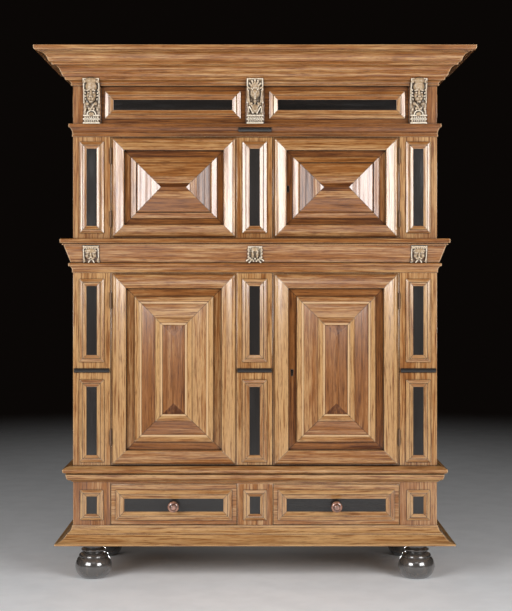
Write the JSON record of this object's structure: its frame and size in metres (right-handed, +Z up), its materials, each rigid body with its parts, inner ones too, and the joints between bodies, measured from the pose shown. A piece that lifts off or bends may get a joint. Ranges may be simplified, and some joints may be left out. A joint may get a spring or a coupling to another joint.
{
  "type": "cupboard",
  "caption": "Two-stage oak cupboard with cushioned doors, ebony strips, carved brackets, drawers in the base, a flaring cornice and bun feet.",
  "frame": {"origin": "on the floor, under the middle of the whole cupboard's box", "axes": "+Z up, front towards -Y, +X to the right seen from the front"},
  "size_m": [1.7322, 0.7381, 2.122],
  "materials": {
    "oak": "waxed",
    "plain_oak": "unfinished",
    "ebony": "polished",
    "ebonised_feet": "polished",
    "carved_oak": "dry",
    "knob_wood": "polished",
    "iron": "forged"
  },
  "bodies": {
    "carcass": {"back_boards": "plain_oak", "base_bottom": "plain_oak", "base_front": "oak", "base_sides": "oak", "bun_feet": "ebonised_feet", "carved_brackets": "carved_oak", "cornice": "oak", "cornice_frame": "plain_oak", "door_stops": "plain_oak", "drawer_runners": "plain_oak", "ebony_bars": "ebony", "ebony_strips": "ebony", "frieze_boards": "oak", "hinge_pins": "iron", "lintel_moulding": "oak", "lion_masks": "carved_oak", "lower_floor": "plain_oak", "lower_header": "oak", "lower_sides": "oak", "middle_ledge": "oak", "panel_frames": "oak", "pilasters": "oak", "plinth_moulding": "oak", "shelves": "plain_oak", "slanted_frieze": "oak", "top_boards": "plain_oak", "upper_floor": "plain_oak", "upper_ledge": "oak", "upper_sides": "oak", "waist_moulding": "oak"},
    "lower_left_door": {"lower_left_door_cushion": "oak", "lower_left_door_frame": "oak", "lower_left_door_ironwork": "iron", "lower_left_door_mouldings": "oak", "lower_centre_pilaster": "oak", "lower_centre_ebony": "ebony"},
    "lower_right_door": {"lower_right_door_cushion": "oak", "lower_right_door_frame": "oak", "lower_right_door_ironwork": "iron", "lower_right_door_mouldings": "oak"},
    "upper_left_door": {"upper_left_door_cushion": "oak", "upper_left_door_frame": "oak", "upper_left_door_ironwork": "iron", "upper_left_door_mouldings": "oak", "upper_centre_pilaster": "oak", "upper_centre_ebony": "ebony"},
    "upper_right_door": {"upper_right_door_cushion": "oak", "upper_right_door_frame": "oak", "upper_right_door_ironwork": "iron", "upper_right_door_mouldings": "oak"},
    "lower_slide_bolt": {"lower_slide_bolt": "iron"},
    "lower_lock_bolt": {"lower_lock_bolt": "iron"},
    "upper_slide_bolt": {"upper_slide_bolt": "iron"},
    "upper_lock_bolt": {"upper_lock_bolt": "iron"},
    "left_drawer": {"left_drawer": "oak", "left_drawer_ebony": "ebony", "left_drawer_knob": "knob_wood"},
    "right_drawer": {"right_drawer": "oak", "right_drawer_ebony": "ebony", "right_drawer_knob": "knob_wood"}
  },
  "joints": [
    {"name": "lower_left_door_hinge", "type": "hinge", "parent": "carcass", "child": "lower_left_door", "pos_m": [-0.5765, -0.237, 0.8465], "axis": [0, 0, -1], "range_deg": [0, 100]},
    {"name": "lower_right_door_hinge", "type": "hinge", "parent": "carcass", "child": "lower_right_door", "pos_m": [0.5765, -0.237, 0.8465], "axis": [0, 0, 1], "range_deg": [0, 100]},
    {"name": "lower_slide_bolt_slide", "type": "slide", "parent": "lower_left_door", "child": "lower_slide_bolt", "axis": [0, 0, 1], "range_m": [0, 0.016]},
    {"name": "lower_lock_bolt_slide", "type": "slide", "parent": "lower_right_door", "child": "lower_lock_bolt", "axis": [-1, 0, 0], "range_m": [0, 0.014]},
    {"name": "upper_left_door_hinge", "type": "hinge", "parent": "carcass", "child": "upper_left_door", "pos_m": [-0.5765, -0.237, 1.572], "axis": [0, 0, -1], "range_deg": [0, 100]},
    {"name": "upper_right_door_hinge", "type": "hinge", "parent": "carcass", "child": "upper_right_door", "pos_m": [0.5765, -0.237, 1.572], "axis": [0, 0, 1], "range_deg": [0, 100]},
    {"name": "upper_slide_bolt_slide", "type": "slide", "parent": "upper_left_door", "child": "upper_slide_bolt", "axis": [0, 0, 1], "range_m": [0, 0.016]},
    {"name": "upper_lock_bolt_slide", "type": "slide", "parent": "upper_right_door", "child": "upper_lock_bolt", "axis": [-1, 0, 0], "range_m": [0, 0.014]},
    {"name": "left_drawer_slide", "type": "slide", "parent": "carcass", "child": "left_drawer", "axis": [0, -1, 0], "range_m": [0, 0.38]},
    {"name": "right_drawer_slide", "type": "slide", "parent": "carcass", "child": "right_drawer", "axis": [0, -1, 0], "range_m": [0, 0.38]}
  ]
}
